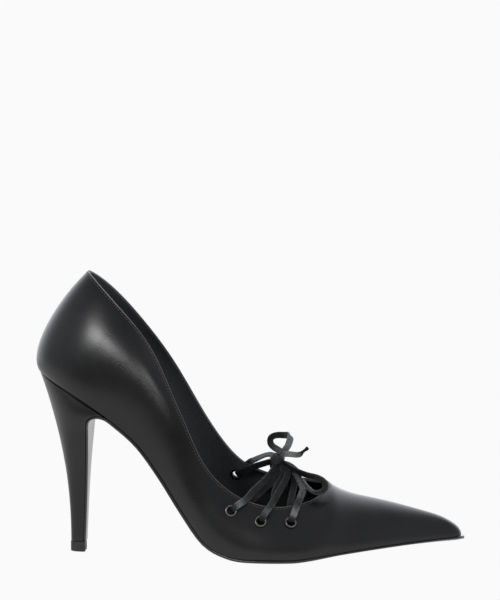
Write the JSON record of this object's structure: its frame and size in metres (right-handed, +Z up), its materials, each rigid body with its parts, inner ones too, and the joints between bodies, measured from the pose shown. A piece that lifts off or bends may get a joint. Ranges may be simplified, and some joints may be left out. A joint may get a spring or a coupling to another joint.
{
  "type": "laced pump shoe",
  "caption": "Pointed black leather pump on a slender high heel, with a low open throat closed by a flat lace through metal eyelets and a small bow.",
  "frame": {"origin": "on the floor, under the middle of the shoe's length and width", "axes": "+X from heel to toe, +Y to the inner side of the foot, +Z up"},
  "size_m": [0.2352, 0.0774, 0.1553],
  "materials": {
    "upper_leather": "smooth black leather, soft sheen",
    "sole_leather": "black sole leather, glossy",
    "lining_leather": "black lining leather, matt",
    "heel_cover": "heel covered in the upper's leather",
    "lift_rubber": "hard matt black rubber",
    "eyelet_metal": "gunmetal",
    "lace_leather": "flat black leather lace"
  },
  "bodies": {
    "root": {"upper": "upper_leather", "outsole": "sole_leather", "insole": "lining_leather", "heel": "heel_cover", "top_lift": "lift_rubber", "eyelet_lateral_rear": "eyelet_metal", "eyelet_lateral_middle": "eyelet_metal", "eyelet_lateral_front": "eyelet_metal", "eyelet_medial_rear": "eyelet_metal", "eyelet_medial_middle": "eyelet_metal", "eyelet_medial_front": "eyelet_metal", "lace_bars": "lace_leather", "lace_knot": "lace_leather", "lace_loop_up": "lace_leather", "lace_loop_front": "lace_leather", "lace_end": "lace_leather"}
  },
  "joints": []
}
